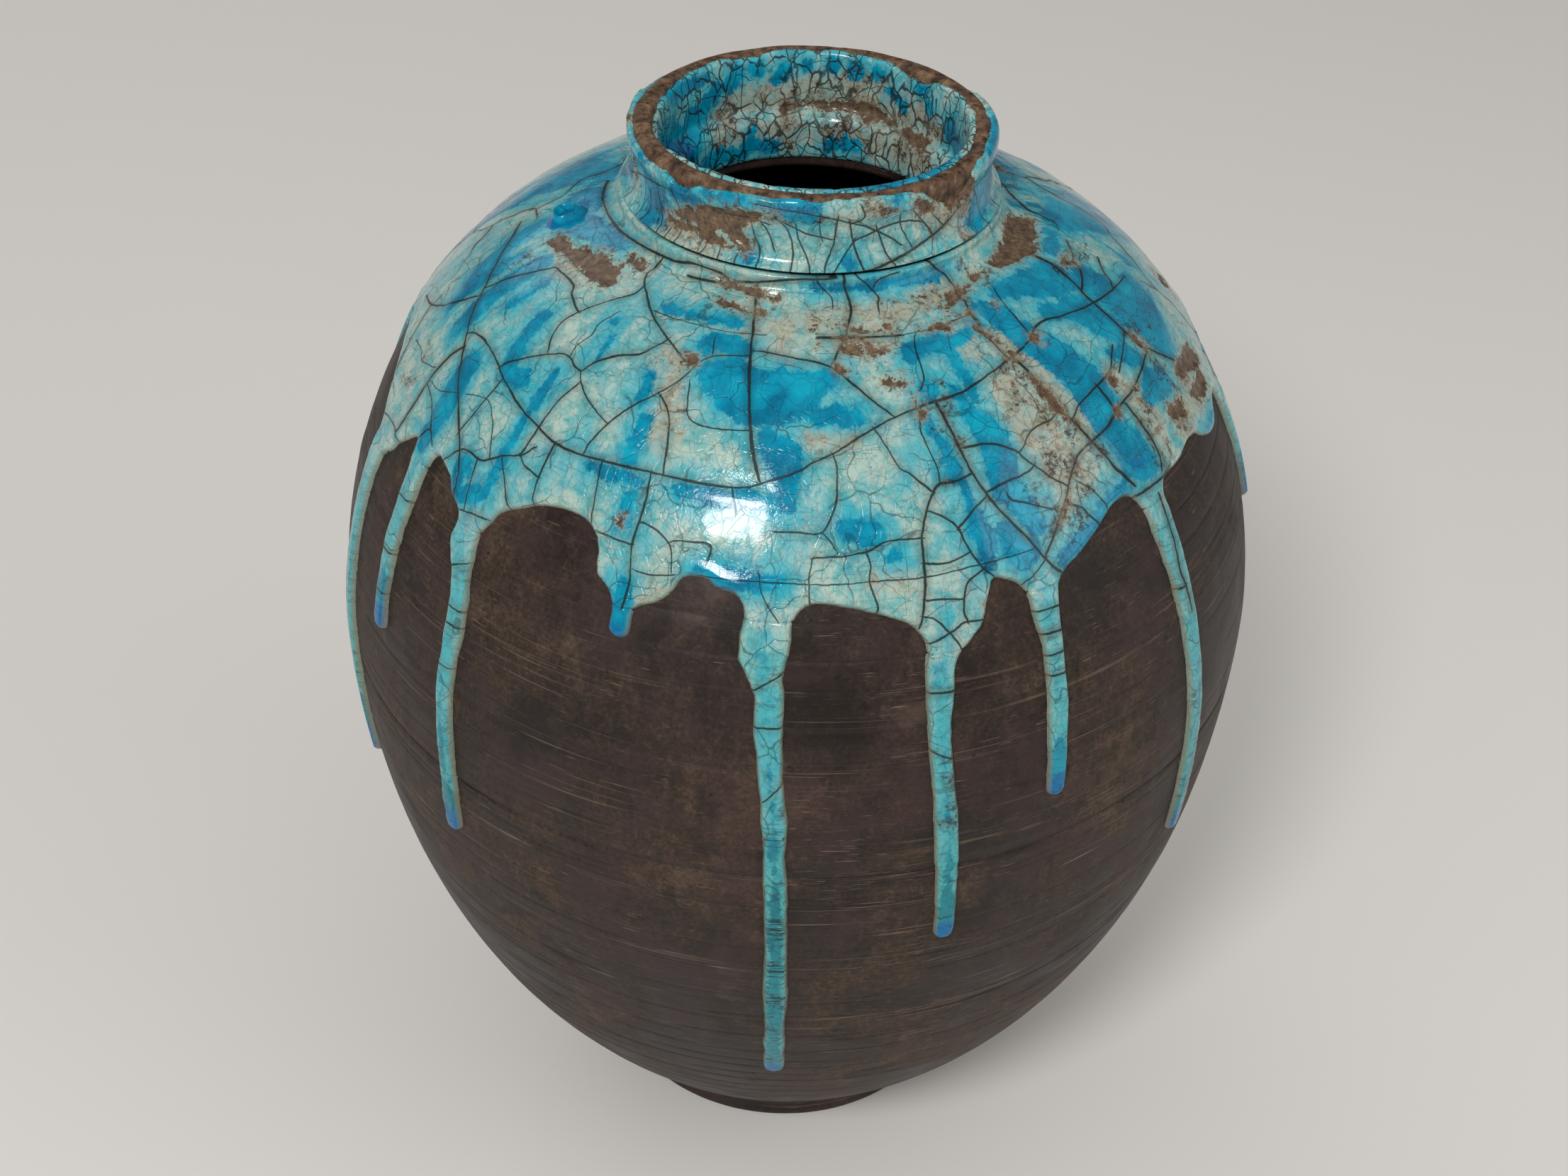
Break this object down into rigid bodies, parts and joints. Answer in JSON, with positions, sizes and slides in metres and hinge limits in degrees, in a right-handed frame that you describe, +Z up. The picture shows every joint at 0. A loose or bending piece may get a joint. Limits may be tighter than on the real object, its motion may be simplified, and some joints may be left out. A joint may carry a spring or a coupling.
{
  "type": "glazed storage jar",
  "caption": "Shouldered storage jar with a short collar neck, a small foot, and a thick turquoise glaze that ends in a scalloped hem and long runs.",
  "frame": {"origin": "centre of the foot, on the surface that the jar stands on", "axes": "+Z up along the jar's axis, -Y towards the pictured front, +X to that front's right"},
  "size_m": [0.2798, 0.2844, 0.348],
  "materials": {
    "clay": "unglazed, smoke-stained, satin",
    "turquoise_glaze": "thick crackled gloss glaze",
    "blue_glaze": "deep gloss glaze"
  },
  "bodies": {
    "root": {"lower_body": "clay", "upper_body": "clay", "neck_collar": "clay", "shoulder_coat": "turquoise_glaze", "neck_coat": "turquoise_glaze", "neck_lining": "turquoise_glaze", "run_far_left": "turquoise_glaze", "run_left": "turquoise_glaze", "run_left_centre": "turquoise_glaze", "run_short": "turquoise_glaze", "run_centre": "turquoise_glaze", "run_right_centre": "turquoise_glaze", "run_right": "turquoise_glaze", "run_far_right": "turquoise_glaze", "run_back_1": "turquoise_glaze", "run_back_2": "turquoise_glaze", "run_back_3": "turquoise_glaze", "run_back_4": "turquoise_glaze", "run_back_5": "turquoise_glaze", "run_back_6": "turquoise_glaze", "run_back_7": "turquoise_glaze", "kiln_drop": "blue_glaze"}
  },
  "joints": []
}
